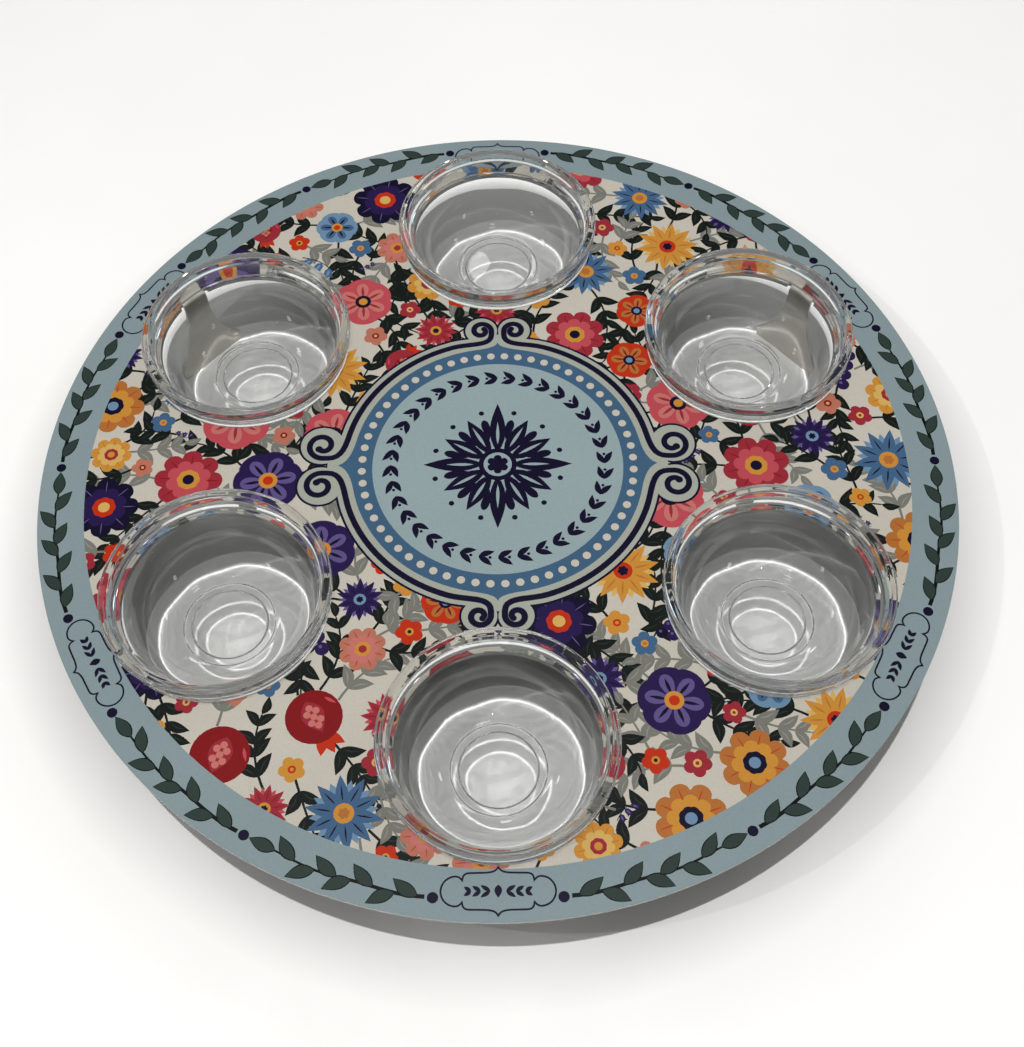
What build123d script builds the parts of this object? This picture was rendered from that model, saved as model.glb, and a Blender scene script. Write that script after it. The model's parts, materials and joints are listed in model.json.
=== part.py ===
"""Seder plate: a printed sheet-metal plate on four bent legs, with six glass bowls hanging in its holes."""
import os
from math import cos, radians, sin, tan

from build123d import *

# Driving dimensions of the plate, in millimetres
plate_diameter = 360.0
plate_height = 46.0            # from the table to the top of the print
sheet_thickness = 1.5
film_thickness = 0.2
hole_diameter = 78.0
hole_edge_margin = 21.25       # from a bowl hole to the plate's edge

# Legs, cut from the blanks of the side holes and bent down square
leg_neck_width = 12.0
leg_foot_width = 35.0
leg_neck_length = 4.0          # straight stretch under the bend
leg_foot_land = 6.0            # straight stretch above the table
leg_foot_rounding = 2.0
leg_bend_radius = 1.2          # inside of the bend
leg_bend_setback = 2.0         # from the hole's edge back to where the bend starts
relief_width = 1.6             # cut at each side of the neck, so that the bend doesn't tear

# Bowls
bowl_depth = 22.0              # below the top of the print
collar_height = 11.5           # above the top of the print
hole_clearance = 0.9           # between the glass and the hole's edge
glass_wall = 2.4
glass_base = 3.2
wall_lean = 19.0               # degrees from upright
inner_rounding = 20.0          # between the floor and the wall, inside
lip_thickness = 3.25
lip_height = 5.6
lip_overhang = 1.25            # of the lip over the lower band of the collar
collar_groove = 0.7            # depth of the groove under the lip
collar_groove_height = 1.0
collar_edge_rounding = 0.6
foot_ring_diameter = 36.0
foot_ring_width = 3.6
foot_ring_height = 1.4

# Each bowl's name and the direction of its hole from the plate's centre, in degrees
bowl_directions = {
    "bowl_back": 90.0,
    "bowl_back_right": 30.0,
    "bowl_front_right": -30.0,
    "bowl_front": -90.0,
    "bowl_front_left": -150.0,
    "bowl_back_left": 150.0,
}

# Each leg stands in a side hole, on this side of the hole's axis, in degrees
leg_directions = {
    "bowl_back_right": 45.0,
    "bowl_front_right": -45.0,
    "bowl_front_left": -135.0,
    "bowl_back_left": 135.0,
}

# Heights above the table
sheet_top = plate_height - film_thickness
sheet_bottom = sheet_top - sheet_thickness

# Circle through the centres of the bowl holes
bowl_circle_diameter = plate_diameter - hole_diameter - 2 * hole_edge_margin

# Radii about a hole's axis
hole_radius = hole_diameter / 2
bend_start = hole_radius + leg_bend_setback
leg_face = bend_start - leg_bend_radius - sheet_thickness
body_radius = hole_radius - hole_clearance

# Bowl profile, with heights counted from the top of the print
lean = radians(wall_lean)
inner_radius_at_seat = body_radius - glass_wall / cos(lean)
lip_inner_radius = inner_radius_at_seat + collar_height * tan(lean)
rim_radius = lip_inner_radius + lip_thickness
collar_radius = rim_radius - lip_overhang
lip_bottom = collar_height - lip_height
lip_rounding = 0.4 * lip_thickness
foot_ring_rounding = 0.4 * foot_ring_width
base_underside = foot_ring_height - bowl_depth
floor_level = base_underside + glass_base
foot_ring_radius = foot_ring_diameter / 2


def hole_centre(name):
    """Centre of a bowl's hole, seen from above."""
    direction = radians(bowl_directions[name])
    reach = bowl_circle_diameter / 2
    return Vector(reach * cos(direction), reach * sin(direction))


def upright_plane(centre, direction, height):
    """Upright plane through a hole's axis: its x runs outwards along the direction, its y runs up."""
    angle = radians(direction)
    return Plane(
        origin=(centre.X, centre.Y, height),
        x_dir=(cos(angle), sin(angle), 0),
        z_dir=(sin(angle), -cos(angle), 0),
    )


def plate_outline(height):
    """Round blank with the bowl holes and the reliefs for the leg bends, at a height above the table."""
    with BuildSketch(Plane.XY.offset(height)) as outline:
        Circle(plate_diameter / 2)
        with Locations(*[hole_centre(name) for name in bowl_directions]):
            Circle(hole_radius, mode=Mode.SUBTRACT)
        for name, direction in leg_directions.items():
            with Locations(Location(hole_centre(name), direction)):
                Rectangle(
                    bend_start,
                    leg_neck_width + 2 * relief_width,
                    align=(Align.MIN, Align.CENTER),
                    mode=Mode.SUBTRACT,
                )
    return outline.sketch


def bend_section(plane):
    """Section of the bend from the sheet into a leg, on an upright plane through the hole's axis."""
    centre = (bend_start, sheet_bottom - leg_bend_radius)
    with BuildSketch(plane) as section:
        with BuildLine():
            under_side = CenterArc(centre, leg_bend_radius, 90, 90)
            upper_side = CenterArc(centre, leg_bend_radius + sheet_thickness, 90, 90)
            Line(under_side @ 0, upper_side @ 0)
            Line(under_side @ 1, upper_side @ 1)
        make_face()
    return section.sketch


def leg_outline(plane):
    """Face of a leg from the table up to its bend, flared to a wide foot."""
    half_neck = leg_neck_width / 2
    half_foot = leg_foot_width / 2
    foot_flat = half_foot - leg_foot_rounding
    leg_top = sheet_bottom - leg_bend_radius
    flare_top = leg_top - leg_neck_length
    with BuildSketch(plane) as outline:
        with BuildLine():
            Line((0, 0), (foot_flat, 0))
            CenterArc((foot_flat, leg_foot_rounding), leg_foot_rounding, -90, 90)
            Line((half_foot, leg_foot_rounding), (half_foot, leg_foot_land))
            TangentArc((half_neck, flare_top), (half_foot, leg_foot_land), tangent=(0, -1))
            Line((half_neck, flare_top), (half_neck, leg_top))
            Line((half_neck, leg_top), (0, leg_top))
            mirror(about=Plane.YZ)
        make_face()
    return outline.sketch


def bowl_section(plane):
    """Half section of a bowl: x counts from its axis, y from the top of the print."""
    outer_corner = body_radius + base_underside * tan(lean)
    inner_corner = inner_radius_at_seat + floor_level * tan(lean)
    with BuildSketch(plane) as section:
        with BuildLine():
            FilletPolyline(
                (0, base_underside),
                (outer_corner, base_underside),
                (body_radius, 0),
                radius=inner_rounding + glass_wall,
            )
            Line((body_radius, 0), (collar_radius - collar_edge_rounding, 0))
            CenterArc(
                (collar_radius - collar_edge_rounding, collar_edge_rounding), collar_edge_rounding, -90, 90
            )
            Polyline(
                (collar_radius, collar_edge_rounding),
                (collar_radius, lip_bottom - collar_groove_height / 2),
                (collar_radius - collar_groove, lip_bottom),
                (rim_radius, lip_bottom + collar_groove_height / 2),
                (rim_radius, collar_height),
                (0, collar_height),
                (0, base_underside),
            )
        make_face()
        with Locations((foot_ring_radius - foot_ring_width / 2, -bowl_depth)):
            RectangleRounded(
                foot_ring_width, bowl_depth / 2, foot_ring_rounding, align=(Align.CENTER, Align.MIN)
            )
        with BuildLine():
            FilletPolyline(
                (0, floor_level),
                (inner_corner, floor_level),
                (lip_inner_radius, collar_height),
                radius=inner_rounding,
            )
            Polyline((lip_inner_radius, collar_height), (0, collar_height), (0, floor_level))
        make_face(mode=Mode.SUBTRACT)
        fillet(section.vertices().group_by(Axis.Y)[-1], lip_rounding)
    return section.sketch


os.makedirs("parts", exist_ok=True)

# Plate: the flat sheet first, then each bend and leg
with BuildPart() as plate_sheet:
    extrude(plate_outline(sheet_bottom), amount=sheet_thickness)
    for hole, direction in leg_directions.items():
        section_plane = upright_plane(hole_centre(hole), direction, 0)
        leg_plane = Plane(
            origin=section_plane.origin + section_plane.x_dir * leg_face,
            x_dir=-section_plane.z_dir,
            z_dir=section_plane.x_dir,
        )
        extrude(bend_section(section_plane), amount=leg_neck_width / 2, both=True)
        extrude(leg_outline(leg_plane), amount=sheet_thickness)
plate_sheet.part.label = "plate_sheet"
export_step(plate_sheet.part, "parts/plate_sheet.step")

# Print: a thin film on the sheet's top, cut to the same outline
with BuildPart() as printed_face:
    extrude(plate_outline(sheet_top), amount=film_thickness)
printed_face.part.label = "printed_face"
export_step(printed_face.part, "parts/printed_face.step")

# Bowls: each turned about its hole's axis, its collar resting on the print
for bowl_name, direction in bowl_directions.items():
    centre = hole_centre(bowl_name)
    with BuildPart() as bowl:
        profile = bowl_section(upright_plane(centre, direction, plate_height))
        revolve(profile, axis=Axis((centre.X, centre.Y, 0), (0, 0, 1)))
    bowl.part.label = bowl_name
    export_step(bowl.part, f"parts/{bowl_name}.step")
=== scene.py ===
"""Seder plate: the looks of a printed metal plate on bent legs, with six clear glass bowls in its holes."""
import json
import random
from cmath import phase, rect
from math import atan2, ceil, cos, pi, radians, sin, sqrt, tan, tau

import bmesh
import bpy
from mathutils import Matrix, Vector
from mathutils.bvhtree import BVHTree
from mathutils.geometry import delaunay_2d_cdt

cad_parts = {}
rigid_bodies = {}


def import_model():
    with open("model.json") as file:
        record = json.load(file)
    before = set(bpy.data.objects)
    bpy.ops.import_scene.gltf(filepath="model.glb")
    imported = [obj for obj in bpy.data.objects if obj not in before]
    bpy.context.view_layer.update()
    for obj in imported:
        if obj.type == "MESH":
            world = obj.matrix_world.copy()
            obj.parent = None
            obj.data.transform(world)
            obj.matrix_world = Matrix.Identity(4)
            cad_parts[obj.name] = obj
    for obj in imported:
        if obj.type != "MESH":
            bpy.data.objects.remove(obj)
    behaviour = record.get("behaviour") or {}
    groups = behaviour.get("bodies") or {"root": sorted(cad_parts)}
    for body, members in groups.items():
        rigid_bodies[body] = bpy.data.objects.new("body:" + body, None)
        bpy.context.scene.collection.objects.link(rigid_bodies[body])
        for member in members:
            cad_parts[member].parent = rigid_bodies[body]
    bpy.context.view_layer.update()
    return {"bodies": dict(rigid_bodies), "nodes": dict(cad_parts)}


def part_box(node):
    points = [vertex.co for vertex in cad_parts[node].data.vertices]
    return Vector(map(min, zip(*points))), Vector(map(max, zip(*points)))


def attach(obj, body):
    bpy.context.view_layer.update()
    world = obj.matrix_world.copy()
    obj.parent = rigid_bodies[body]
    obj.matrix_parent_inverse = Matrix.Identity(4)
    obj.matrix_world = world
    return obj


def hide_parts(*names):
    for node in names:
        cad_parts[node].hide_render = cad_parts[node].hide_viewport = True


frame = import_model()

# Everything is drawn in millimetres, and turned into Blender's metres where a mesh is made
MM = 0.001

# Places and sizes taken from the frame. A point seen from above is a complex number
film_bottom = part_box("printed_face")[0].z / MM
film_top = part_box("printed_face")[1].z / MM
plate_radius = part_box("printed_face")[1].x / MM
bowl_names = [name for name in frame["bodies"] if name != "plate"]
bowl_centres = {}
for name in bowl_names:
    low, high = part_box(name)
    bowl_centres[name] = complex(low.x + high.x, low.y + high.y) / 2 / MM
film_points = [complex(v.co.x, v.co.y) / MM for v in frame["nodes"]["printed_face"].data.vertices]
hole_radius = min(abs(point - bowl_centres["bowl_front"]) for point in film_points)

# Legs: each is a tab of the sheet that stands in a side hole, in this direction from the hole's centre
leg_directions = {
    "bowl_back_right": radians(45),
    "bowl_front_right": radians(-45),
    "bowl_front_left": radians(-135),
    "bowl_back_left": radians(135),
}
sheet_thickness = 1.5
sheet_bottom = film_bottom - sheet_thickness
leg_neck_width = 12.0
leg_foot_width = 35.0
leg_neck_length = 4.0
leg_foot_land = 6.0
leg_foot_rounding = 2.0
leg_bend_radius = 1.2
leg_bend_setback = 2.0
leg_bend_start = hole_radius + leg_bend_setback
relief_width = 1.6
slot_half_width = leg_neck_width / 2 + relief_width
leg_bend_steps = 8
leg_flare_steps = 12

# Bowl profile, with heights counted from the top of the print
bowl_depth = 22.0
collar_height = 11.5
hole_clearance = 0.9
glass_wall = 2.4
glass_base = 3.2
wall_lean = radians(19)
inner_rounding = 20.0
lip_thickness = 3.25
lip_height = 5.6
lip_overhang = 1.25
collar_groove = 0.7
collar_groove_height = 1.0
collar_rounding = 0.6
groove_rounding = 0.3
lip_edge_rounding = 0.5
lip_rounding = 0.4 * lip_thickness
foot_ring_radius = 18.0
foot_ring_width = 3.6
foot_ring_height = 1.4
foot_ring_draft = 0.5
foot_ring_roundings = (0.5, 0.6, 0.8)
seat_gap = 0.06  # keeps the glass from lying in the same plane as the print

# Layout of the print
band_width = 17.8  # pale blue border along the plate's edge
border_radius = 173.0  # circle through the border's dots and vine stems
border_dot_radius = 1.9
cartouche_radius = 169.6  # circle through the middles of the cartouches
cartouche_dot_angle = radians(7.24)
cartouche_line = 0.65
vine_leaf_length = 9.8
vine_leaf_width = 4.1
vine_leaf_lean = 0.56
vine_outline = 0.42
medallion_disc_radius = 49.7
medallion_ring_radius = 57.8
medallion_dot_circle = 53.8
medallion_dot_radius = 1.6
medallion_dots = 60
scroll_radius = 61.4  # middle of the navy line round the medallion
scroll_line = 2.4
scroll_grey = 6.0
scroll_outline = 7.8

# Inks of the print, as sRGB values from 0 to 255
inks = {
    "cream": (178, 172, 160),
    "band": (121, 136, 139),
    "disc": (133, 149, 151),
    "ring": (56, 85, 111),
    "pale": (148, 151, 140),
    "navy": (10, 5, 34),
    "dot": (178, 173, 160),
    "stem": (6, 8, 7),
    "vine": (40, 53, 48),
    "leaf": (12, 18, 15),
    "leaf light": (33, 44, 37),
    "sage": (107, 107, 100),
    "sage light": (132, 130, 122),
    "violet": (31, 17, 63),
    "lilac": (84, 71, 119),
    "blue": (57, 86, 117),
    "sky": (96, 124, 149),
    "crimson": (136, 34, 46),
    "pink": (168, 65, 73),
    "rose": (176, 101, 94),
    "red": (115, 12, 17),
    "scarlet": (168, 40, 10),
    "coral": (165, 100, 80),
    "amber": (157, 96, 44),
    "gold": (180, 124, 46),
    "straw": (189, 153, 84),
}


# Outlines
leaf_shape = 0.85  # under 1, so a leaf is widest before its middle
petal_shape = 1.8  # over 1, so a petal is widest beyond its middle
lobe_shape = 0.6  # under 1, so lobes are blunt and the cuts between them sharp


def turns(count, start=0.0, offset=0.0):
    """Angles in even steps round a circle, set off by a share of a step."""
    return [start + tau * (k + offset) / count for k in range(count)]


def disc(radius, steps=16):
    """Round outline about 0."""
    return [rect(radius, angle) for angle in turns(steps)]


def blade(spine, halves):
    """Outline about a spine, out along one side and back along the other, by its half widths."""
    lower = [point - 1j * half for point, half in zip(spine, halves)]
    upper = [point + 1j * half for point, half in zip(spine, halves)]
    return lower + upper[-2:0:-1]


def leaf(length, width, sweep=0.0, steps=8):
    """Pointed outline from 0 to its length along the real axis, bowed sideways by sweep."""
    shares = [k / steps for k in range(steps + 1)]
    spine = [complex(length * share, sweep * sin(pi * share)) for share in shares]
    return blade(spine, [width / 2 * sin(pi * share ** leaf_shape) for share in shares])


def petal(length, width, steps=9):
    """Outline from a narrow base at 0 to a round end, along the real axis."""
    shares = [sin(pi / 2 * k / steps) for k in range(steps + 1)]
    halves = [width / 2 * sqrt(max(0.0, sin(pi * share ** petal_shape))) for share in shares]
    return blade([length * share for share in shares], halves)


def lobed(radius, lobes, cut, steps=8):
    """Round outline with lobes, cut in between them by a share of the radius."""
    outline = []
    for angle in turns(lobes * steps):
        swell = abs(cos(lobes * angle / 2)) ** lobe_shape
        outline.append(rect(radius * (1 - cut + cut * swell), angle))
    return outline


def curve(start, start_pull, end_pull, end, steps=10):
    """Points of a cubic curve between two ends, drawn out by two pulls."""
    points = []
    for k in range(steps + 1):
        t = k / steps
        s = 1 - t
        points.append(s ** 3 * start + 3 * s * s * t * start_pull + 3 * s * t * t * end_pull + t ** 3 * end)
    return points


def arc(centre, radius, start, end, steps, end_radius=None):
    """Points of an arc, or of a spiral that ends at another radius."""
    end_radius = radius if end_radius is None else end_radius
    points = []
    for k in range(steps + 1):
        share = k / steps
        points.append(centre + rect(radius + (end_radius - radius) * share, start + (end - start) * share))
    return points


def placed(points, at, turn):
    """The points turned about 0 and moved to a place."""
    spin = rect(1, turn)
    return [at + point * spin for point in points]


# Drawing the print: each layer is an ink and an outline, and covers the layers before it
layers = []
smallest_area = 1e-4


def draw(ink, outline, at=0j, turn=0.0, reach=0.0):
    """Adds an outline to the print, turned, moved to its place and then on by a reach along its turn."""
    path = placed(outline, at + rect(reach, turn), turn)
    area = sum((a.conjugate() * b).imag for a, b in zip(path, path[1:] + path[:1])) / 2
    if area < 0:
        path.reverse()
    if abs(area) > smallest_area:
        layers.append((ink, path))


def draw_line(ink, path, width, end_width=None):
    """Adds a line along a path, as a chain of triangles, tapering to its end width."""
    end_width = width if end_width is None else end_width
    edges = []
    for k, point in enumerate(path):
        ahead = path[min(k + 1, len(path) - 1)] - path[max(k - 1, 0)]
        local_width = width + (end_width - width) * k / (len(path) - 1)
        side = 1j * ahead / abs(ahead) * local_width / 2
        edges.append((point + side, point - side))
    for (left, right), (next_left, next_right) in zip(edges, edges[1:]):
        draw(ink, [right, next_right, next_left])
        draw(ink, [right, next_left, left])


def draw_ring(ink, inner, outer, steps):
    """Adds a ring about the plate's centre."""
    for angle, next_angle in zip(turns(steps), turns(steps, offset=1)):
        start = rect(1, angle)
        end = rect(1, next_angle)
        draw(ink, [inner * start, outer * start, outer * end, inner * end])


# Flowers of the field, each about its own centre

def rosette(at, turn, size, outer, inner, vein, heart, eye):
    """Two rings of round petals, one above the other, with fine veins."""
    lobes = 8
    draw(outer, lobed(size, lobes, 0.22), at, turn)
    for angle in turns(lobes, turn):
        draw(vein, leaf(0.42 * size, 0.035 * size, steps=4), at, angle, 0.5 * size)
    draw(inner, lobed(0.66 * size, lobes, 0.2), at, turn + pi / lobes)
    draw(heart, lobed(0.34 * size, lobes, 0.12, steps=5), at, turn)
    draw(eye, disc(0.17 * size), at)


def star_flower(at, turn, size, outer, inner, vein, heart, eye):
    """Pointed petals in two tones about a round heart."""
    petals = 10
    for angle in turns(petals, turn, 0.5):
        draw(inner, leaf(0.86 * size, 0.34 * size), at, angle)
    for angle in turns(petals, turn):
        draw(outer, leaf(size, 0.34 * size), at, angle)
        draw(vein, leaf(0.46 * size, 0.045 * size, steps=4), at, angle, 0.3 * size)
    draw(heart, disc(0.26 * size), at)
    draw(eye, lobed(0.15 * size, 6, 0.25, steps=4), at, turn)


def windflower(at, turn, size, outer, inner, vein, heart, eye):
    """Six broad round petals with a dark wedge at the foot of each."""
    petals = 6
    for angle in turns(petals, turn):
        draw(outer, petal(size, 0.98 * size), at, angle)
    for angle in turns(petals, turn):
        draw(inner, petal(0.8 * size, 0.4 * size, steps=7), at, angle)
        draw(vein, leaf(0.5 * size, 0.1 * size, steps=5), at, angle, 0.2 * size)
    draw(heart, disc(0.27 * size), at)
    draw(eye, disc(0.15 * size, 12), at)


def pomegranate(at, turn, size, outer, inner, vein, heart, eye):
    """Round fruit with a crown, opened on its seeds."""
    body = 0.74 * size
    for lean in (-0.6, 0.0, 0.6):
        draw(vein, leaf(0.62 * size, 0.3 * size), at + rect(0.52 * size, turn), turn + lean)
    draw(outer, disc(body, 26), at)
    draw(inner, leaf(1.3 * body, 0.8 * body, steps=10), at, turn, -0.65 * body)
    for row, count in ((-0.28, 2), (0.0, 3), (0.28, 2)):
        for k in range(count):
            place = complex((k - (count - 1) / 2) * 0.36, row * 0.62) * body
            draw(heart, disc(0.13 * body, 9), at + place * rect(1, turn))
    draw(eye, leaf(0.5 * body, 0.12 * body, steps=5), at + rect(0.8 * body, turn + 2.2), turn + 0.55)


def small_blossom(at, turn, size, outer, inner, vein, heart, eye):
    """Five round petals about an eye."""
    for angle in turns(5, turn):
        draw(outer, disc(0.44 * size, 12), at + rect(0.55 * size, angle))
    draw(heart, disc(0.3 * size, 10), at)
    draw(eye, disc(0.14 * size, 8), at)


def grapes(at, turn, size, outer, inner, vein, heart, eye):
    """Hanging bunch of round berries."""
    berry = 0.27 * size
    for row in range(4):
        for k in range(4 - row):
            place = complex((row - 1.2) * 1.65 * berry, (k - (3 - row) / 2) * 1.9 * berry)
            spot = at + place * rect(1, turn)
            draw(outer if (row + k) % 2 else inner, disc(berry, 12), spot)
            draw(vein, disc(0.28 * berry, 7), spot + rect(0.4 * berry, 2.2))


def bell_spray(at, turn, size, outer, inner, vein, heart, eye):
    """Three bell flowers along a bowed stem."""
    stem = curve(-0.9 * size, 0.3j * size - 0.3 * size, 0.35j * size + 0.3 * size, 0.95 * size, 8)
    stem = placed(stem, at, turn)
    draw_line("leaf", stem, 0.06 * size, 0.03 * size)
    half = [0.16 + 0.2j, 0.5 + 0.24j, 0.62 + 0.36j, 0.6 + 0.13j]
    bell = [0] + half + [0.74] + [point.conjugate() for point in reversed(half)]
    for k, lean in ((2, -1.9), (4, -1.5), (6, -1.1)):
        draw(outer, [point * 0.82 * size for point in bell], stem[k], turn + lean)
        draw(heart, leaf(0.4 * size, 0.14 * size, steps=5), stem[k], turn + lean, 0.1 * size)


def sprig(at, turn, length, bow, leaf_ink, rib_ink):
    """Stem with leaves in pairs and one more at its end, starting at a place and bowed sideways."""
    steps = 12
    stem = curve(0, complex(0.35 * length, bow), complex(0.7 * length, bow), length, steps)
    stem = placed(stem, at, turn)
    draw_line(leaf_ink, stem, 1.0, 0.6)
    pairs = max(1, round(length / sprig_leaf_spacing))
    for k in range(pairs + 1):
        index = round(steps * (0.2 + 0.8 * k / pairs))
        heading = phase(stem[index] - stem[index - 1])
        size = sprig_leaf_length * (1 - 0.25 * k / pairs)
        for lean in ((0.0,) if k == pairs else (0.8, -0.8)):
            sweep = 0.1 * size * (1 if lean < 0 else -1)
            direction = heading + lean
            draw(leaf_ink, leaf(size, 0.44 * size, sweep, 7), stem[index], direction)
            rib = leaf(0.66 * size, 0.05 * size, 0.8 * sweep, 4)
            draw(rib_ink, rib, stem[index], direction, 0.16 * size)


# Kinds of flower: how each is drawn, and its outer, inner, vein, heart and eye inks
flower_kinds = {
    "large": [
        (rosette, "crimson pink red gold navy"),
        (windflower, "violet lilac navy gold scarlet"),
        (star_flower, "blue sky navy gold amber"),
        (rosette, "amber gold scarlet navy sky"),
        (star_flower, "gold straw amber scarlet navy"),
        (windflower, "pink rose crimson navy gold"),
        (rosette, "navy violet lilac scarlet straw"),
        (pomegranate, "red crimson scarlet rose pink"),
    ],
    "medium": [
        (windflower, "scarlet amber red navy sky"),
        (star_flower, "violet lilac navy sky navy"),
        (rosette, "coral rose crimson gold crimson"),
        (pomegranate, "crimson red scarlet coral pink"),
        (star_flower, "crimson pink red gold navy"),
        (grapes, "violet navy lilac navy navy"),
        (windflower, "sky blue navy gold scarlet"),
        (bell_spray, "blue sky navy sky navy"),
        (rosette, "gold straw amber crimson gold"),
    ],
    "small": [
        (small_blossom, "blue sky navy gold amber"),
        (small_blossom, "crimson pink red straw crimson"),
        (small_blossom, "coral rose coral red straw"),
        (bell_spray, "violet lilac navy lilac navy"),
        (small_blossom, "scarlet amber red gold navy"),
        (small_blossom, "gold straw amber scarlet gold"),
    ],
}
flower_counts = {"large": 38, "medium": 56, "small": 96}
flower_sizes = {"large": (12.5, 14.8), "medium": (8.2, 10.2), "small": (4.4, 5.6)}
flower_gaps = {"large": 3.6, "medium": 2.4, "small": 1.6}
sprig_counts = {"large": 4, "medium": 3, "small": 1}
sprig_leaf_spacing = 8.0
sprig_leaf_length = 9.8
sprig_room = 4.0  # half width that a sprig keeps free of other sprigs
shortest_sprig = 5.0
longest_sprig = 26.0
sprig_sight = 30.0  # how far from a flower the way of a sprig is looked at
sprig_mark_spacing = 6.0
sprig_bow = 0.2  # most that a sprig bows sideways, as a share of its length
field_inner_radius = 62.0
field_outer_radius = plate_radius - band_width + 4.0
chance = random.Random(11)


def over_hole(spot, radius):
    """Whether a place lies over a bowl hole, taken to have that radius."""
    return any(abs(spot - centre) <= radius for centre in bowl_centres.values())


def field_spot(size, gap, taken, tries=400):
    """A random place in the field for something of that size, clear of what is there, or None."""
    for _ in range(tries):
        reach = sqrt(chance.uniform(field_inner_radius ** 2, field_outer_radius ** 2))
        spot = rect(reach, chance.uniform(0, tau))
        if over_hole(spot, hole_radius - 0.4 * size):
            continue
        if all(abs(spot - other) > size + other_size + gap for other, other_size in taken):
            return spot
    return None


def clear_way(spot, size, angle, taken):
    """How far a sprig can run from a flower in a direction before it goes under another flower."""
    reach = sprig_sight
    for other, other_size in taken:
        offset = (other - spot) * rect(1, -angle)
        if offset.real > 0 and abs(offset.imag) < 0.8 * other_size:
            reach = min(reach, offset.real - 0.6 * other_size - size)
    return reach


def sprig_marks(spot, angle, length):
    """Round areas along a sprig, which keep other sprigs away from it."""
    count = max(2, ceil(length / sprig_mark_spacing))
    return [(spot + rect(length * (k + 0.7) / count, angle), sprig_room) for k in range(count)]


def draw_field():
    """Scatters the flowers, then draws sprigs, some of them grey, and the flowers over them."""
    flowers = []
    taken = []
    for scale in ("large", "medium", "small"):
        kinds = flower_kinds[scale]
        for k in range(flower_counts[scale]):
            size = chance.uniform(*flower_sizes[scale])
            spot = field_spot(size, flower_gaps[scale], taken)
            if spot is not None:
                taken.append((spot, size))
                flowers.append((scale, spot, size, kinds[k % len(kinds)]))
    sprigs = []
    directions = 16
    for scale, spot, size, kind in flowers:
        first = chance.uniform(0, tau)
        for _ in range(sprig_counts[scale]):
            ways = [(clear_way(spot, size, angle, taken), angle) for angle in turns(directions, first)]
            reach, angle = max(ways)
            if reach > shortest_sprig:
                start = spot + rect(0.75 * size, angle)
                length = min(reach, longest_sprig) + 0.25 * size
                sprigs.append((start, angle, length))
                taken += sprig_marks(start, angle, length)
    for k, (start, angle, length) in enumerate(sprigs):
        bow = chance.uniform(-sprig_bow, sprig_bow) * length
        if k % 3 == 0:
            sprig(start, angle, length, bow, "sage", "sage light")
        else:
            sprig(start, angle, length, bow, "leaf", "leaf light")
    for scale, spot, size, (draw_flower, flower_inks) in flowers:
        draw_flower(spot, chance.uniform(0, tau), size, *flower_inks.split())


# Border

def cartouche_outline():
    """A box with pointed tips above and below and a round lobe at each end, lying along the real axis."""
    quarter = curve(8.3j, 0.5 + 7.0j, 1.3 + 6.4j, 4.0 + 6.2j, 6)
    quarter += curve(9.6 + 6.1j, 11.2 + 6.1j, 12.2 + 5.2j, 11.9 + 3.3j, 6)
    quarter += curve(11.9 + 3.3j, 12.6 + 4.6j, 13.4 + 5.0j, 14.4 + 5.0j, 4)[1:]
    quarter += arc(14.2, 5.0, radians(78), 0, 8)
    upper = quarter + [point.conjugate() for point in quarter[-2::-1]]
    return upper + [-point.conjugate() for point in upper[-2:0:-1]]


def draw_cartouche(angle):
    """Frame across the border, with a lozenge between two sprigs."""
    at = rect(cartouche_radius, angle)
    turn = angle - pi / 2
    outline = placed(cartouche_outline(), at, turn)
    draw("band", outline)
    draw_line("navy", outline + outline[:2], cartouche_line)
    draw("navy", leaf(4.4, 2.6, steps=6), at - 2.2 * rect(1, turn + pi / 2), turn + pi / 2)
    for way in (1, -1):
        for k in range(3):
            spot = at + way * (2.6 + 3.2 * k) * rect(1, turn)
            for lean in (0.55, -0.55):
                draw("navy", leaf(3.9 - 0.5 * k, 1.5, steps=6), spot, turn + (0 if way > 0 else pi) + lean)


def draw_branch(start, end):
    """Vine branch along the border, from its blunt start to the leaf at its end."""
    way = 1 if end > start else -1
    steps = 24
    angles = [start + (end - start) * k / steps for k in range(steps + 1)]
    stem = [rect(border_radius + 0.35 * sin(4 * pi * k / steps), angle) for k, angle in enumerate(angles)]
    stem_end = steps - round(steps * 0.8 * vine_leaf_length / abs(end - start) / border_radius)
    draw_line("stem", stem[:stem_end + 1], 1.5, 0.7)
    leaf_places = 7
    for k in range(leaf_places + 1):
        index = round(1 + (stem_end - 1) * k / leaf_places)
        heading = phase(stem[index] - stem[index - 1])
        lean = 0.0 if k == leaf_places else vine_leaf_lean * (-1) ** k
        direction = heading + lean * way
        sweep = -0.9 * way * lean
        rim = leaf(vine_leaf_length + 2 * vine_outline, vine_leaf_width + 2 * vine_outline, sweep)
        draw("stem", rim, stem[index], direction, -vine_outline)
        draw("vine", leaf(vine_leaf_length, vine_leaf_width, sweep), stem[index], direction, 0.1)


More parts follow.
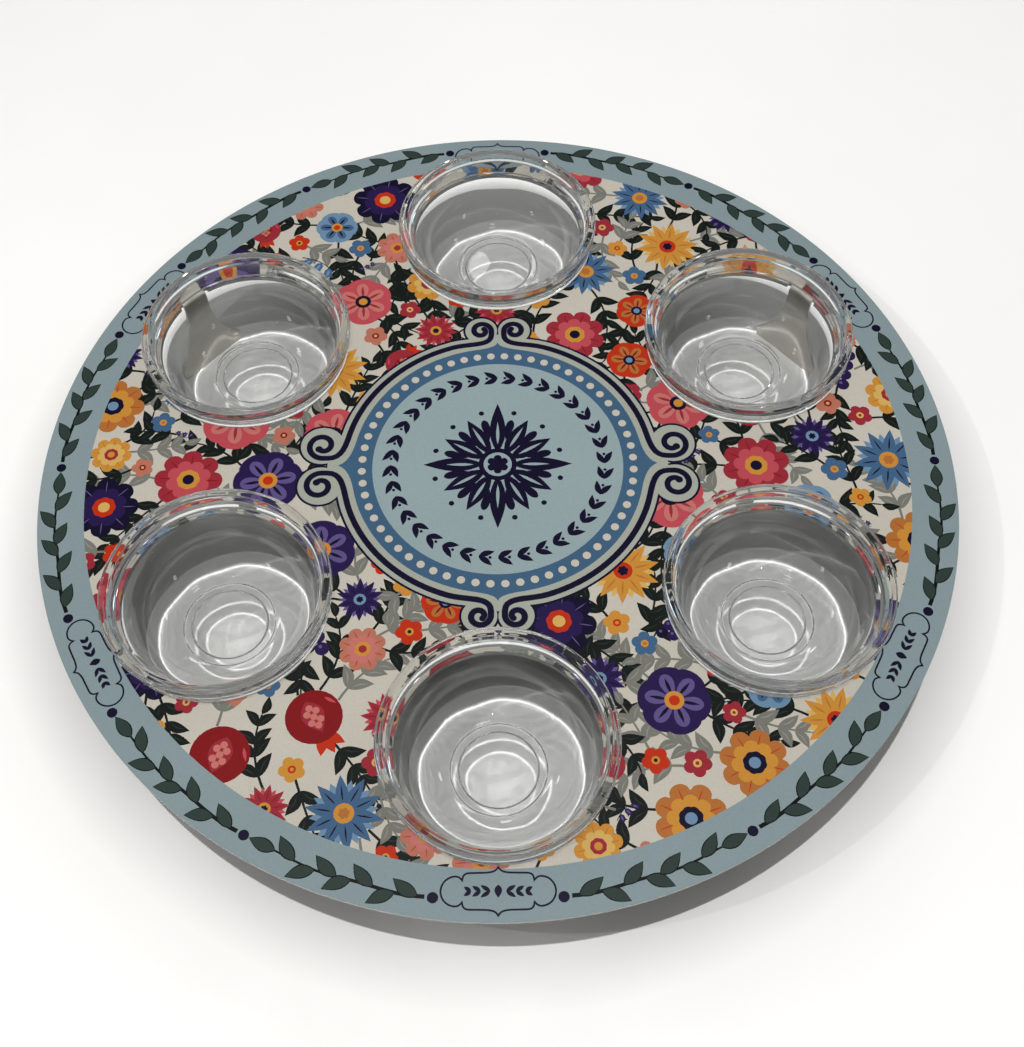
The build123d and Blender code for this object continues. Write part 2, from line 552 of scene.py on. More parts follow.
def draw_border():
    """Pale band with cartouches, dots and vine branches that grow up both sides from the front."""
    draw_ring("band", plate_radius - band_width, plate_radius, outline_steps)
    step = radians(30)
    for middle in turns(6, pi / 2):
        draw_cartouche(middle)
        for angle in (middle - cartouche_dot_angle, middle + cartouche_dot_angle, middle + step):
            draw("navy", disc(border_dot_radius, 20), rect(border_radius, angle))
    stem_gap = radians(0.9)
    tip_gap = radians(1.5)
    for way in (1, -1):
        for first, count, growth in ((-pi / 2, 4, way), (pi / 2, 2, -way)):
            for k in range(count):
                start = first + growth * step * k
                end = start + growth * step
                at_cartouche = k % 2 == 0
                start += growth * (stem_gap + (cartouche_dot_angle if at_cartouche else 0))
                end -= growth * (tip_gap + (0 if at_cartouche else cartouche_dot_angle))
                draw_branch(start, end)


# Medallion

def mirrored(points, x_sign, y_sign):
    """The points mirrored into another quarter of the medallion."""
    return [complex(x_sign * point.real, y_sign * point.imag) for point in points]


# Scrolls of one quarter of the frame: the one at its top and the one at its side
top_scroll = {"centre": 6.9 + 67.3j, "line_radius": 4.3, "edge": 7.6}
side_scroll = {"centre": 70.0 + 9.5j, "line_radius": 6.0, "edge": 9.6}
scroll_turn = radians(400)
top_neck_angle = radians(72)  # where the round line bends out to the top scroll
side_neck_angle = radians(20)
ring_top_angle = radians(80)  # where the blue ring bends out to its tip at the top
ring_side_angle = radians(12)
wreath_radius = 42.5
wreath_pairs = 36
star_rays = 12
quarters = ((1, 1), (1, -1), (-1, -1), (-1, 1))


def scroll_neck(end_angle, from_angle, tip, pull):
    """Bend from the medallion's round line out to the neck of a scroll."""
    leave = rect(scroll_radius, from_angle)
    tangent = 1j * leave / abs(leave) * (1 if end_angle > from_angle else -1)
    outward = rect(1, end_angle)
    return curve(leave, leave + pull * tangent, tip - 0.8 * pull * outward, tip, 10)


def all_quarters(points, last=None):
    """The points of a quarter up to its last, mirrored and joined into a path all the way round."""
    path = []
    for x_sign, y_sign in quarters:
        part = mirrored(points, x_sign, y_sign)
        ordered = part if x_sign == y_sign else part[::-1]
        path += ordered[:last]
    return path


def draw_scroll_frame():
    """Pale frame with a navy line that runs round it and ends in scrolls."""
    top = top_scroll["centre"]
    side = side_scroll["centre"]
    top_tip = complex(top.real - top_scroll["line_radius"], top.imag - 2.0)
    side_tip = complex(side.real - 2.5, side.imag - side_scroll["line_radius"])
    top_neck = scroll_neck(pi / 2, top_neck_angle, top_tip, 8.0)
    side_neck = scroll_neck(0.0, side_neck_angle, side_tip, 9.0)
    round_part = arc(0, scroll_radius, top_neck_angle, side_neck_angle, 24)
    frame_line = top_neck[::-1] + round_part[1:-1] + side_neck
    top_spiral = arc(top, top_scroll["line_radius"], pi, pi - scroll_turn, 40, 1.5)
    side_spiral = arc(side, side_scroll["line_radius"], -pi / 2, -pi / 2 + scroll_turn, 40, 2.1)
    for extra, width, ink in ((0.0, scroll_outline, "navy"), (-0.9, scroll_grey, "pale")):
        for signs in quarters:
            for scroll in (top_scroll, side_scroll):
                draw(ink, disc(scroll["edge"] + extra, 36), mirrored([scroll["centre"]], *signs)[0])
            draw_line(ink, mirrored(frame_line, *signs), width)
    draw("pale", all_quarters(frame_line))
    for signs in quarters:
        whole = top_spiral[::-1] + frame_line + side_spiral
        draw_line("navy", mirrored(whole, *signs), scroll_line)
        draw("navy", disc(1.25), mirrored([top_spiral[-1]], *signs)[0])
        draw("navy", disc(1.5), mirrored([side_spiral[-1]], *signs)[0])


def draw_dotted_ring():
    """Blue ring with a tip on each of four sides and a row of dots."""
    top_bend = rect(medallion_ring_radius, ring_top_angle)
    side_bend = rect(medallion_ring_radius, ring_side_angle)
    quarter = curve(61.0j, 0.6 + 58.9j, 3.5 + 58.0j, top_bend, 5)
    quarter += arc(0, medallion_ring_radius, ring_top_angle, ring_side_angle, 26)[1:]
    quarter += curve(side_bend, 57.8 + 6.0j, 59.5 + 1.5j, 63.3, 6)[1:]
    draw("ring", all_quarters(quarter, last=-1))
    for angle in turns(medallion_dots, offset=0.5):
        draw("dot", disc(medallion_dot_radius, 14), rect(medallion_dot_circle, angle))


def draw_wreath():
    """Ring of paired leaves with a dot between them."""
    for angle in turns(wreath_pairs):
        spot = rect(wreath_radius, angle)
        for lean in (0.5, -0.5):
            draw("navy", leaf(6.6, 2.5, 0.3), spot, angle + pi / 2 + lean)
        draw("navy", disc(0.65, 8), rect(wreath_radius, angle + 0.6 * tau / wreath_pairs))


def draw_star():
    """Star of leaves and petals in the middle, with longer leaves on four sides."""
    for k, angle in enumerate(turns(star_rays)):
        draw("navy", leaf(24.0 if k % 3 == 0 else 19.0, 6.4), 0j, angle, 5.5)
        draw("disc", leaf(11.0, 1.3, steps=6), 0j, angle, 9.5)
    for angle in turns(star_rays, offset=0.5):
        draw("navy", petal(10.0, 3.4), 0j, angle, 12.0)
        draw("navy", disc(1.1), rect(25.5, angle))
    draw("navy", disc(7.6, 40))
    draw("disc", disc(5.6, 36))
    draw("navy", lobed(4.4, 6, 0.3), 0j, pi / 6)


def draw_medallion():
    """Round panel in a scrolled frame, with a ring of dots, a leaf wreath and a star."""
    draw_scroll_frame()
    draw_dotted_ring()
    draw("disc", disc(medallion_disc_radius, 120))
    draw_wreath()
    draw_star()


# Flat shapes of the plate
outline_steps = 360
hole_steps = 144
bowl_steps = 192
overlay_tolerance = 1e-4
finder_tolerance = 0.01
sharp_angle = radians(35)


def hole_outline(name):
    """Bowl hole, with the slot that its leg is bent down through."""
    centre = bowl_centres[name]
    if name not in leg_directions:
        return placed(disc(hole_radius, hole_steps), centre, 0.0)
    neck = leg_neck_width / 2
    opening = atan2(slot_half_width, sqrt(hole_radius ** 2 - slot_half_width ** 2))
    outline = arc(0, hole_radius, opening, tau - opening, hole_steps)
    outline += [complex(leg_bend_start, side) for side in (-slot_half_width, -neck, neck, slot_half_width)]
    return placed(outline, centre, leg_directions[name])


def field_shows(outline):
    """Whether any of an outline lies in the field, outside the holes, the border and the medallion."""
    for point in outline:
        in_field = medallion_ring_radius < abs(point) < plate_radius - band_width
        if in_field and not over_hole(point, hole_radius):
            return True
    return False


draw_field()
layers = [layer for layer in layers if field_shows(layer[1])]
layers.insert(0, ("cream", disc(plate_radius, outline_steps)))
draw_border()
draw_medallion()
for name in bowl_names:
    draw("cut away", hole_outline(name))


# Meshes

def in_metres(spot, height):
    """Point for a mesh, from a place seen from above and a height in millimetres."""
    return spot.real * MM, spot.imag * MM, height * MM


def add_object(name, data):
    """Makes an object of a mesh, lamp or camera and puts it in the scene."""
    added = bpy.data.objects.new(name, data)
    bpy.context.scene.collection.objects.link(added)
    return added


def add_piece(name, mesh, body, node, materials):
    """Makes an object of a mesh, riding on a body in the place of a CAD node."""
    piece = add_object(name, mesh)
    for material in materials:
        mesh.materials.append(material)
    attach(piece, body)
    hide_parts(node)


def overlay(flat_layers):
    """Joins all layers in one flat mesh: its points, its triangles and the topmost ink of each triangle.

    What reaches out over the first layer is cut away."""
    points = []
    faces = []
    for ink, outline in flat_layers:
        faces.append(range(len(points), len(points) + len(outline)))
        points += [Vector((point.real, point.imag)) for point in outline]
    joined = delaunay_2d_cdt(points, [], [list(face) for face in faces], 1, overlay_tolerance)
    tops = [flat_layers[max(sources)][0] if 0 in sources else "cut away" for sources in joined[5]]
    return joined[0], joined[2], tops


def ink_edges(triangles, tops):
    """Edges where two inks meet, or where the print ends."""
    sides = {}
    for corners, ink in zip(triangles, tops):
        for k in range(3):
            edge = tuple(sorted((corners[k], corners[k - 1])))
            sides.setdefault(edge, []).append(ink)
    return [edge for edge, met in sides.items() if len(met) == 1 or met[0] != met[1]]


def merge_inks(points, triangles, tops):
    """Makes the flat mesh again from the edges between inks alone, without the edges that are covered."""
    finder = BVHTree.FromPolygons([(point.x, point.y, 0) for point in points], triangles)
    edges = ink_edges(triangles, tops)
    used = sorted({corner for edge in edges for corner in edge})
    place = {corner: k for k, corner in enumerate(used)}
    new_edges = [(place[a], place[b]) for a, b in edges]
    joined = delaunay_2d_cdt([points[corner] for corner in used], new_edges, [], 0, overlay_tolerance)
    kept = []
    kept_tops = []
    for corners in joined[2]:
        middle = sum((joined[0][corner] for corner in corners), Vector((0, 0))) / 3
        _, _, index, gap = finder.find_nearest((middle.x, middle.y, 0))
        if gap < finder_tolerance and tops[index] != "cut away":
            kept.append(corners)
            kept_tops.append(tops[index])
    return joined[0], kept, kept_tops


def linear(value):
    """Linear value of an sRGB value from 0 to 255."""
    share = value / 255
    return share / 12.92 if share <= 0.04045 else ((share + 0.055) / 1.055) ** 2.4


# Half size and middle of the bake map's square for the print, and of the small one for the film's other faces
top_map = (0.49, 0.5)
rest_map = (0.03, 0.965)


def film_mesh():
    """Closed thin film with the print on its top, its inks in a colour attribute."""
    *drawn, drawn_tops = overlay(layers)
    points, triangles, tops = merge_inks(*drawn, drawn_tops)
    rim = ink_edges(triangles, ["print"] * len(triangles))
    one_ink = ["cut away" if ink == "cut away" else "print" for ink in drawn_tops]
    under_points, under_triangles, _ = merge_inks(*drawn, one_ink)
    faces = [list(corners) for corners in triangles]
    count = len(points)
    faces += [[corner + count for corner in reversed(corners)] for corners in under_triangles]
    below = {point.to_tuple(): k + count for k, point in enumerate(under_points)}
    facing = {(corners[k - 1], corners[k]) for corners in triangles for k in range(3)}
    for a, b in rim:
        start, end = (a, b) if (a, b) in facing else (b, a)
        faces.append([end, start, below[points[start].to_tuple()], below[points[end].to_tuple()]])
    face_inks = tops + ["cream"] * (len(faces) - len(tops))
    coordinates = [in_metres(complex(*point), film_top) for point in points]
    coordinates += [in_metres(complex(*point), film_bottom) for point in under_points]
    mesh = bpy.data.meshes.new("print_film")
    mesh.from_pydata(coordinates, [], faces)
    colours = mesh.color_attributes.new("ink", "FLOAT_COLOR", "CORNER")
    bake_map = mesh.uv_layers.new(name="OFBake")
    shades = {ink: [linear(value) for value in inks[ink]] + [1.0] for ink in inks}
    values = []
    places = []
    for face, ink in zip(faces, face_inks):
        for corner in face:
            values += shades[ink]
            on_top = len(face) == 3 and corner < count
            size, middle = top_map if on_top else rest_map
            places += [middle + size * axis / MM / plate_radius for axis in coordinates[corner][:2]]
    colours.data.foreach_set("color", values)
    bake_map.data.foreach_set("uv", places)
    return mesh


def rounded(corners, steps=6):
    """Path through corners given as (radius, height, rounding), with an arc at each rounded corner."""
    path = []
    for k, (x, y, rounding) in enumerate(corners):
        corner = complex(x, y)
        if rounding == 0:
            path.append(corner)
            continue
        before = complex(*corners[k - 1][:2]) - corner
        after = complex(*corners[(k + 1) % len(corners)][:2]) - corner
        before /= abs(before)
        after /= abs(after)
        half_turn = abs(phase(after / before)) / 2
        middle = before + after
        centre = corner + middle / abs(middle) * rounding / sin(half_turn)
        start = phase(corner + before * rounding / tan(half_turn) - centre)
        sweep = phase(rect(1, phase(corner + after * rounding / tan(half_turn) - centre) - start))
        count = max(2, round(steps * abs(sweep)))
        path += arc(centre, rounding, start, start + sweep, count)
    return path


def bowl_profile():
    """Section of a bowl from the middle of its underside, round the lip, to the middle of its floor."""
    base = foot_ring_height - bowl_depth
    floor = base + glass_base
    body_radius = hole_radius - hole_clearance
    seat_radius = body_radius - glass_wall / cos(wall_lean)
    lip_inner = seat_radius + collar_height * tan(wall_lean)
    rim = lip_inner + lip_thickness
    collar = rim - lip_overhang
    lip_bottom = collar_height - lip_height
    outer_corner = body_radius + base * tan(wall_lean)
    inner_corner = seat_radius + floor * tan(wall_lean)
    outer = rounded([
        (0, base, 0),
        (outer_corner, base, inner_rounding + glass_wall),
        (body_radius, seat_gap, 0),
    ], 24)
    ring_inner = foot_ring_radius - foot_ring_width
    ring = rounded([
        (ring_inner - 1.5, base, 0),
        (ring_inner, base, foot_ring_roundings[0]),
        (ring_inner + foot_ring_draft, -bowl_depth, foot_ring_roundings[1]),
        (foot_ring_radius - 0.2, -bowl_depth, foot_ring_roundings[2]),
        (foot_ring_radius, base + 0.5, 0),
    ])
    under = [point for point in outer if point.real < ring_inner - 2] + ring
    under += [point for point in outer if point.real > foot_ring_radius + 0.3]
    upper = rounded([
        (body_radius, seat_gap, 0),
        (collar, seat_gap, collar_rounding),
        (collar, lip_bottom - collar_groove_height / 2, groove_rounding),
        (collar - collar_groove, lip_bottom, groove_rounding),
        (rim, lip_bottom + collar_groove_height / 2, lip_edge_rounding),
        (rim, collar_height, lip_rounding),
        (lip_inner, collar_height, lip_rounding),
        (inner_corner, floor, inner_rounding),
        (0, floor, 0),
    ], 9)
    return under + upper[1:]


def smooth_mesh(name, solid):
    """Mesh of a solid, shaded smooth."""
    mesh = bpy.data.meshes.new(name)
    for face in solid.faces:
        face.smooth = True
    solid.to_mesh(mesh)
    solid.free()
    return mesh


def bowl_mesh(profile, centre):
    """Turns the profile about a hole's axis."""
    solid = bmesh.new()
    bottom = solid.verts.new(in_metres(centre, film_top + profile[0].imag))
    top = solid.verts.new(in_metres(centre, film_top + profile[-1].imag))
    rings = []
    for point in profile[1:-1]:
        height = film_top + point.imag
        circle = [centre + rect(point.real, angle) for angle in turns(bowl_steps)]
        rings.append([solid.verts.new(in_metres(spot, height)) for spot in circle])
    for k in range(bowl_steps):
        after = (k + 1) % bowl_steps
        solid.faces.new((bottom, rings[0][after], rings[0][k]))
        solid.faces.new((top, rings[-1][k], rings[-1][after]))
        for lower, upper in zip(rings, rings[1:]):
            solid.faces.new((lower[k], lower[after], upper[after], upper[k]))
    mesh = smooth_mesh("bowl", solid)
    spots = mesh.attributes.new("spot", "FLOAT_VECTOR", "POINT")
    for vertex, spot in zip(mesh.vertices, spots.data):
        spot.vector = vertex.co / MM - Vector((centre.real, centre.imag, film_top))
    return mesh


def leg_stations():
    """Sections along a leg from the start of its bend to its foot: half width, upper face and under face.

    A face is a complex number: its reach from the hole's axis and its height above the table."""
    bend_centre = complex(leg_bend_start, sheet_bottom - leg_bend_radius)
    stations = []
    for k in range(leg_bend_steps + 1):
        spoke = rect(1, pi / 2 * (1 + k / leg_bend_steps))
        upper = bend_centre + (leg_bend_radius + sheet_thickness) * spoke
        under = bend_centre + leg_bend_radius * spoke
        stations.append((leg_neck_width / 2, upper, under))
    flare_top = bend_centre.imag - leg_neck_length
    flare_width = (leg_foot_width - leg_neck_width) / 2
    flare_height = flare_top - leg_foot_land
    flare_radius = (flare_width ** 2 + flare_height ** 2) / 2 / flare_width
    outline = []
    for k in range(leg_flare_steps + 1):
        drop = flare_height * k / leg_flare_steps
        flare = flare_radius - sqrt(flare_radius ** 2 - drop ** 2)
        outline.append(complex(leg_neck_width / 2 + flare, flare_top - drop))
    corner = complex(leg_foot_width / 2 - leg_foot_rounding, leg_foot_rounding)
    outline += arc(corner, leg_foot_rounding, 0, -pi / 2, 4)
    for point in outline:
        upper = complex(leg_bend_start - leg_bend_radius - sheet_thickness, point.imag)
        stations.append((point.real, upper, upper + sheet_thickness))
    return stations


def add_leg(solid, name, neck):
    """Folds a leg down from the four corners of its neck, which belong to the sheet."""
    spin = rect(1, leg_directions[name])
    section = neck
    for half, upper, under in leg_stations()[1:]:
        before = section
        section = []
        for face, side in ((upper, -half), (upper, half), (under, half), (under, -half)):
            spot = bowl_centres[name] + complex(face.real, side) * spin
            section.append(solid.verts.new(in_metres(spot, face.imag)))
        for k in range(4):
            wall = solid.faces.new((before[k], before[k - 1], section[k - 1], section[k]))
            wall.material_index = (1, 0, 1, 2)[k]
    solid.faces.new(section).material_index = 1


def sheet_mesh():
    """Flat sheet with its holes, and a leg folded down from each side hole, as one closed mesh."""
    flat = [("sheet", disc(plate_radius, outline_steps))]
    flat += [("cut away", hole_outline(name)) for name in bowl_names]
    points, triangles, tops = merge_inks(*overlay(flat))
    solid = bmesh.new()
    upper = [solid.verts.new(in_metres(complex(*point), film_bottom)) for point in points]
    under = [solid.verts.new(in_metres(complex(*point), sheet_bottom)) for point in points]
    for corners in triangles:
        solid.faces.new([upper[corner] for corner in corners])
        solid.faces.new([under[corner] for corner in reversed(corners)]).material_index = 2
    necks = {}
    for name, direction in leg_directions.items():
        ends = []
        for side in (-leg_neck_width / 2, leg_neck_width / 2):
            spot = bowl_centres[name] + complex(leg_bend_start, side) * rect(1, direction)
            ends.append(min(range(len(points)), key=lambda k: abs(complex(*points[k]) - spot)))
        necks[tuple(sorted(ends))] = name
        add_leg(solid, name, [upper[ends[0]], upper[ends[1]], under[ends[1]], under[ends[0]]])
    for edge in ink_edges(triangles, tops):
        if edge not in necks:
            start, end = edge
            solid.faces.new((upper[start], upper[end], under[end], under[start])).material_index = 1
    bmesh.ops.recalc_face_normals(solid, faces=solid.faces)
    mesh = smooth_mesh("sheet", solid)
    mesh.set_sharp_from_angle(angle=sharp_angle)
    return mesh


# Materials

# Painted light and shade on the table under a bowl, drawn by a ring pattern in the glass's colour for lamp
# rays: distance from the bowl's axis and level, with 1 for all of it
painted_table_light_levels = (
    (0.0, 1.25), (12.3, 0.95), (13.1, 2.4), (13.9, 0.62), (17.6, 0.5), (18.4, 2.2), (19.2, 0.64), (26.0, 0.6),
    (31.4, 0.8), (32.7, 1.5), (33.1, 4.0), (33.5, 1.2), (34.3, 0.24), (38.2, 0.2), (39.2, 0.6), (45.0, 1.0),
)
rim_reach = 45.0
curve_shift = 5.0  # millimetres that a full step of noise moves the bright curves
glass_tint = (0.97, 0.985, 0.978, 1)
glass_refraction = 1.5

# Lightness of the floor at distances from the middle of a painted shadow, a little behind the plate's axis,
# in metres: darker under and round the plate
painted_shadow_middle = (0.0, 0.014, 0.0)
floor_painted_shadow_levels = ((0.0, 0.58), (0.184, 0.58), (0.214, 0.92), (1.0, 0.94))
floor_fade = (0.5, 1.1)
floor_tint = (1.0, 0.985, 0.96)

# Values between which most of a noise lies
noise_range = (0.3, 0.7)


def set_inputs(tree, node, inputs):
    """Sets inputs of a node, each to a fixed value or to the output of another node."""
    for key, value in inputs.items():
        if isinstance(value, bpy.types.NodeSocket):
            tree.links.new(value, node.inputs[key])
        else:
            node.inputs[key].default_value = value


def add_node(tree, kind, inputs, **settings):
    """Adds a shader node with its settings and inputs."""
    node = tree.nodes.new("ShaderNode" + kind)
    for name, value in settings.items():
        setattr(node, name, value)
    set_inputs(tree, node, inputs)
    return node


def new_material(name):
    """A material with a principled shader: the material, its node tree and the shader."""
    material = bpy.data.materials.new(name)
    material.use_nodes = True
    tree = material.node_tree
    return material, tree, tree.nodes["Principled BSDF"]


def object_place(tree):
    """The object's own coordinates, in metres."""
    return add_node(tree, "TexCoord", {}).outputs["Object"]


def noise(tree, scale, detail):
    """Noise over the object's own coordinates, in features per metre."""
    inputs = {"Scale": scale, "Detail": detail, "Roughness": 0.5, "Vector": object_place(tree)}
    return add_node(tree, "TexNoise", inputs).outputs["Fac"]


def spread(tree, value, low, high):
    """A noise value brought to a range."""
    inputs = {"From Min": noise_range[0], "From Max": noise_range[1], "To Min": low, "To Max": high}
    return add_node(tree, "MapRange", {"Value": value, **inputs}).outputs["Result"]


def bump(tree, height, strength, distance):
    """Normal from a height, with the depth given in metres."""
    inputs = {"Strength": strength, "Distance": distance, "Height": height}
    return add_node(tree, "Bump", inputs).outputs["Normal"]


def shaded(tree, colour, factor):
    """A colour times a value."""
    inputs = {"Factor": 1.0, "A": colour, "B": factor}
    return add_node(tree, "Mix", inputs, data_type="RGBA", blend_type="MULTIPLY").outputs["Result"]


def vector_step(tree, operation, value, other):
    """One step of reckoning with two vectors."""
    return add_node(tree, "VectorMath", {0: value, 1: other}, operation=operation).outputs["Vector"]


def length_of(tree, value):
    """Length of a vector."""
    return add_node(tree, "VectorMath", {0: value}, operation="LENGTH").outputs["Value"]


def ramp(tree, factor, levels, tint=(1.0, 1.0, 1.0)):
    """Colour by a factor: levels are (place, level) from first to last, in shades of a tint."""
    node = add_node(tree, "ValToRGB", {"Fac": factor})
    stops = node.color_ramp.elements
    for place, _ in levels[1:-1]:
        stops.new(place)
    for stop, (place, level) in zip(stops, levels):
        stop.position = place
        stop.color = (*(level * share for share in tint), 1)
    return node.outputs["Color"]


def show_mix(tree, factor, shader, other):
    """Shows a shader, and instead of it another one as far as the factor says."""
    choice = add_node(tree, "MixShader", {"Fac": factor, 1: shader.outputs["BSDF"], 2: other.outputs["BSDF"]})
    set_inputs(tree, tree.nodes["Material Output"], {"Surface": choice.outputs["Shader"]})


def film_material():
    """Satin print: the inks with a fine grain, faint clouding and a slightly uneven gloss."""
    material, tree, shader = new_material("printed_film")
    ink = add_node(tree, "VertexColor", {}, layer_name="ink")
    grain = spread(tree, noise(tree, 2600, 2), 0.93, 1.05)
    clouds = spread(tree, noise(tree, 14, 3), 0.97, 1.03)
    set_inputs(tree, shader, {
        "Base Color": shaded(tree, shaded(tree, ink.outputs["Color"], grain), clouds),
        "Specular IOR Level": 0.12,
        "Roughness": spread(tree, noise(tree, 500, 3), 0.4, 0.52),
        "Normal": bump(tree, noise(tree, 1800, 2), 0.12, 0.00004),
    })
    return material


def coat_material(name, dark, light, tone_noise, gloss_noise, roughness, relief_noise, relief, metallic=0.0):
    """Coat in two tones, with an uneven gloss and a fine relief, each by a noise of its own."""
    material, tree, shader = new_material(name)
    tone = add_node(tree, "ValToRGB", {"Fac": noise(tree, *tone_noise)})
    for stop, colour in zip(tone.color_ramp.elements, (dark, light)):
        stop.color = (*colour, 1)
    set_inputs(tree, shader, {
        "Base Color": tone.outputs["Color"],
        "Metallic": metallic,
        "Roughness": spread(tree, noise(tree, *gloss_noise), *roughness),
        "Normal": bump(tree, noise(tree, *relief_noise), *relief),
    })
    return material


def sheet_materials():
    """Cream powder coat with a fine orange-peel, a thin coat on the cut edge, and a dark grey underside, made
    dark as painted shade so that little light bounces onto the table under the plate.
    """
    return [
        coat_material(
            "sheet_coat", (0.46, 0.44, 0.38), (0.56, 0.54, 0.48), tone_noise=(120, 4), gloss_noise=(300, 2),
            roughness=(0.36, 0.5), relief_noise=(900, 2), relief=(0.25, 0.00008)),
        coat_material(
            "sheet_edge", (0.3, 0.3, 0.29), (0.46, 0.46, 0.44), tone_noise=(700, 3), gloss_noise=(500, 2),
            roughness=(0.34, 0.5), relief_noise=(2200, 2), relief=(0.3, 0.00006), metallic=0.35),
        coat_material(
            # Painted shade: the underside is dark so that the table under the plate stays in deep shade
            "sheet_underside", (0.13, 0.13, 0.125), (0.18, 0.18, 0.172), tone_noise=(160, 4),
            gloss_noise=(400, 3), roughness=(0.5, 0.64), relief_noise=(1500, 2), relief=(0.2, 0.00005)),
    ]


def painted_table_light(tree):
    """Painted light that a bowl lets onto the table from a lamp, by the distance from its axis.

    The bright curves under its wall and foot ring, and the dark ring by the collar, are a painted pattern of
    light and shade, not the glass's refraction."""
    spot = add_node(tree, "Attribute", {}, attribute_name="spot").outputs["Vector"]
    waves = add_node(tree, "TexNoise", {"Scale": 0.035, "Detail": 1.0, "Vector": spot})
    shift = vector_step(tree, "SUBTRACT", waves.outputs["Color"], (0.5, 0.5, 0.5))
    shift = vector_step(tree, "MULTIPLY", shift, (curve_shift, curve_shift, 0.0))
    flat = vector_step(tree, "MULTIPLY", spot, (1.0, 1.0, 0.0))
    reach = length_of(tree, vector_step(tree, "ADD", flat, shift))
    share = add_node(tree, "MapRange", {"From Max": rim_reach, "Value": reach}).outputs["Result"]
    curves = ramp(tree, share, [(radius / rim_reach, level) for radius, level in painted_table_light_levels])
    swirl = {"Scale": 0.16, "Distortion": 9.0, "Detail": 2.0, "Detail Scale": 0.6, "Vector": spot}
    ripple = add_node(tree, "TexWave", swirl, wave_type="RINGS")
    return shaded(tree, curves, spread(tree, ripple.outputs["Fac"], 0.88, 1.1))


def glass_material():
    """Clear pressed glass, faintly wavy, with a hint of green, that lets the lamps shine onto the table
    through a painted pattern of light and shade.
    """
    material, tree, shader = new_material("clear_glass")
    set_inputs(tree, shader, {
        "Base Color": glass_tint,
        "Transmission Weight": 1.0,
        "IOR": glass_refraction,
        "Roughness": spread(tree, noise(tree, 60, 2), 0.0, 0.008),
        "Normal": bump(tree, noise(tree, 45, 2), 0.15, 0.0004),
    })
    back = add_node(tree, "NewGeometry", {}).outputs["Backfacing"]
    # Painted light and shade: lamp rays through the glass take this ring pattern as their colour
    once = {"Factor": back, "A": painted_table_light(tree), "B": (1, 1, 1, 1)}
    passed = add_node(tree, "Mix", once, data_type="RGBA").outputs["Result"]
    lamp_light = add_node(tree, "BsdfTransparent", {"Color": passed})
    path = add_node(tree, "LightPath", {}).outputs
    both = {0: path["Is Shadow Ray"], 1: path["Is Diffuse Ray"]}
    from_table = add_node(tree, "Math", both, operation="MAXIMUM").outputs["Value"]
    show_mix(tree, from_table, shader, lamp_light)
    return material


def floor_material():
    """Pale table top, a little uneven, with a painted shadow that makes it greyer under and round the plate,
    that fades into the backdrop.
    """
    material, tree, shader = new_material("pale_floor")
    reach = length_of(tree, vector_step(tree, "SUBTRACT", object_place(tree), painted_shadow_middle))
    mottle = spread(tree, noise(tree, 3, 3), 0.97, 1.02)
    set_inputs(tree, shader, {
        # Painted shadow: the floor's colour is darker near the plate
        "Base Color": shaded(tree, ramp(tree, reach, floor_painted_shadow_levels, floor_tint), mottle),
        "Roughness": spread(tree, noise(tree, 30, 2), 0.5, 0.62),
    })
    limits = {"From Min": floor_fade[0], "From Max": floor_fade[1], "Value": reach}
    fade = add_node(tree, "MapRange", limits, interpolation_type="SMOOTHSTEP").outputs["Result"]
    show_mix(tree, fade, shader, add_node(tree, "BsdfTransparent", {}))
    return material


# The pieces
add_piece("print", film_mesh(), "plate", "printed_face", [film_material()])
glass = glass_material()
profile = bowl_profile()
for name in bowl_names:
    add_piece("glass_" + name, bowl_mesh(profile, bowl_centres[name]), name, name, [glass])
add_piece("sheet", sheet_mesh(), "plate", "plate_sheet", sheet_materials())

# Floor
floor_reach = 3.0
floor_corners = [(x * floor_reach, y * floor_reach, 0) for x, y in ((-1, -1), (1, -1), (1, 1), (-1, 1))]
floor_mesh = bpy.data.meshes.new("floor")
floor_mesh.from_pydata(floor_corners, [], [(0, 1, 2, 3)])
floor_mesh.materials.append(floor_material())
floor = add_object("floor", floor_mesh)

# Lights: places and sizes in metres, energies in watts
lamp_aim = Vector((0, 0, 0.04))
lamp_size = 0.02  # of the lamps high up, which throw the bowls' bright curves on the table
spot_height = 1.55
spot_size = 0.016
spot_energy = 0.15
panel_size = 0.12
panel_energy = 0.2

# Small spots in the ceiling, which glint in the glass
ceiling_spots = ((0.06, -0.3), (0.22, -0.48), (-0.02, -0.62), (0.4, -0.2), (-0.4, -0.1), (-0.3, -0.75))

# Pale panels round the room, which draw bright lines in the rims
panel_places = (
    (0.75, 0.55, 1.2), (-0.8, 0.6, 1.1), (-0.1, 1.1, 1.1),
    (1.0, -0.5, 1.0), (-1.1, -0.6, 0.9), (0.1, 0.1, 1.6),
)


def add_lamp(name, place, size, energy, mirrored_in_glass=True, colour=(1.0, 1.0, 1.0)):
    """Round area light that faces the plate."""
    lamp = bpy.data.lights.new(name, "AREA")
    lamp.shape = "DISK"
    lamp.size = size
    lamp.energy = energy
    lamp.color = colour
    holder = add_object(name, lamp)
    holder.location = place
    holder.rotation_euler = (Vector(place) - lamp_aim).to_track_quat("Z", "Y").to_euler()
    holder.visible_glossy = mirrored_in_glass
    holder.visible_transmission = mirrored_in_glass


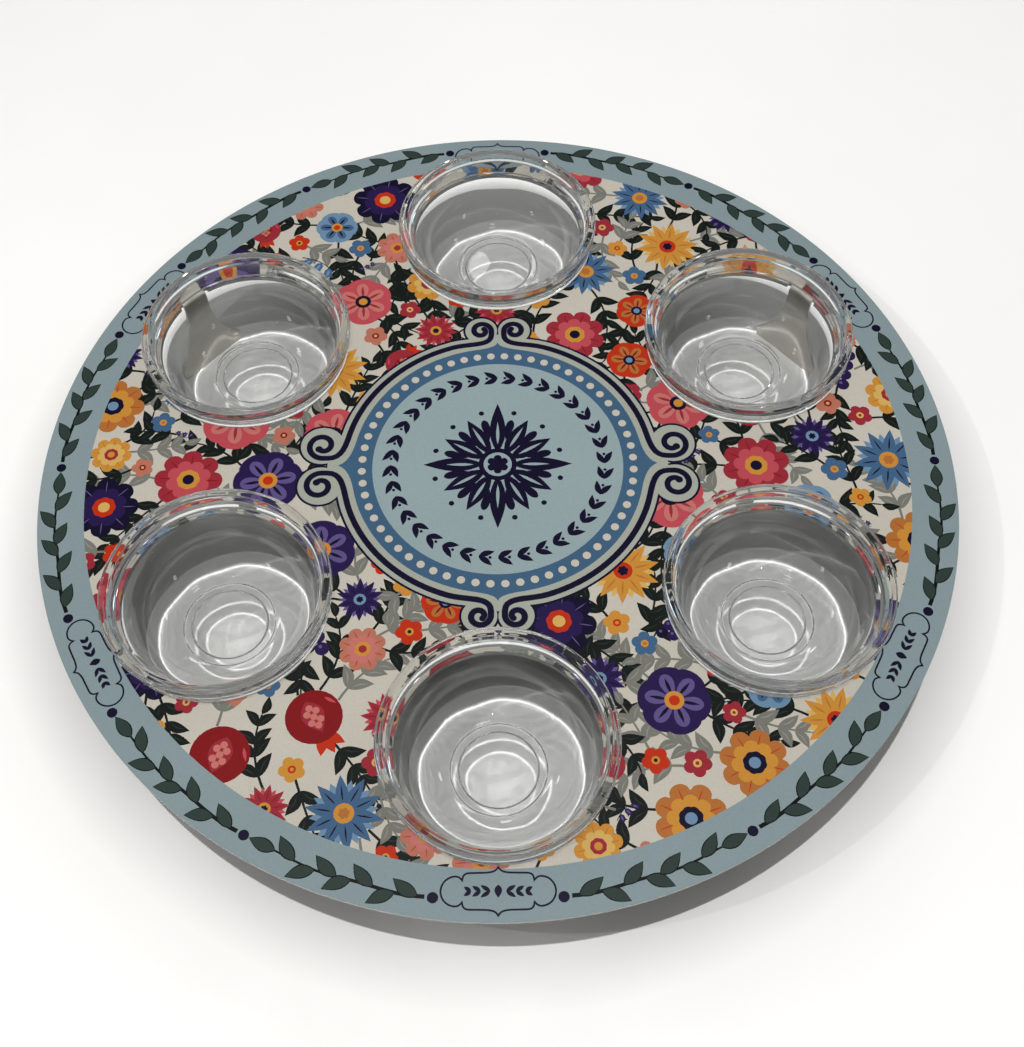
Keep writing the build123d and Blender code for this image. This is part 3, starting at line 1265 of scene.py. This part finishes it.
add_lamp("key", (-0.08, -0.3, 1.6), lamp_size, energy=17.0)
add_lamp("second", (-0.75, -0.4, 1.3), lamp_size, energy=2.5)
add_lamp("third", (0.15, -0.95, 1.5), lamp_size, energy=1.2)
add_lamp("back_box", (0.1, 0.85, 0.95), size=0.8, energy=2.6, mirrored_in_glass=False)
add_lamp("window", (1.3, 0.8, 0.45), size=0.35, energy=0.9, colour=(0.6, 0.8, 1.0))
for k, place in enumerate(ceiling_spots):
    add_lamp("ceiling_spot_" + str(k), (*place, spot_height), spot_size, spot_energy)
for k, place in enumerate(panel_places):
    add_lamp("panel_" + str(k), place, panel_size, panel_energy)

# Room: dim, a little lighter overhead, with a pale backdrop that only the camera sees behind the floor
room_levels = ((0.0, 0.12), (0.3, 0.16), (0.6, 0.2), (1.0, 0.2))
backdrop_level = 0.86
world = bpy.data.worlds.new("studio")
world.use_nodes = True
room = world.node_tree
direction = add_node(room, "TexCoord", {}).outputs["Generated"]
height = add_node(room, "SeparateXYZ", {"Vector": direction}).outputs["Z"]
shown = add_node(room, "Mix", {}, data_type="RGBA")
set_inputs(room, shown, {
    "Factor": add_node(room, "LightPath", {}).outputs["Is Camera Ray"],
    "A": ramp(room, height, room_levels),
    "B": (backdrop_level, backdrop_level, backdrop_level, 1),
})
set_inputs(room, room.nodes["Background"], {"Color": shown.outputs["Result"]})
bpy.context.scene.world = world

# Light goes round many times inside a glass rim before it comes out
glass_bounces = 24
light_paths = bpy.context.scene.cycles
light_paths.glossy_bounces = glass_bounces
light_paths.transmission_bounces = glass_bounces
light_paths.max_bounces = glass_bounces
bpy.context.scene.view_settings.view_transform = "Standard"

# Camera, placed by the plate's outline in the photograph: angles in radians, lengths in millimetres
camera_elevation = radians(59.14)
camera_roll = 0.0111
camera_turn = -0.0031
camera_distance = 537.3
camera_offset = (-5.65, 23.5)
sensor_width = 36
focal_length = 46.62
tilt = Matrix.Rotation(camera_elevation - pi / 2, 3, "X")
view = Matrix.Rotation(camera_roll, 3, "Z") @ tilt @ Matrix.Rotation(camera_turn, 3, "Z")
stand = view.transposed() @ Vector((-camera_offset[0], -camera_offset[1], camera_distance))
lens = bpy.data.cameras.new("camera")
lens.sensor_width = sensor_width
lens.lens = focal_length
camera = add_object("camera", lens)
camera.matrix_world = Matrix.Translation((stand + Vector((0, 0, film_top))) * MM) @ view.transposed().to_4x4()
bpy.context.scene.camera = camera
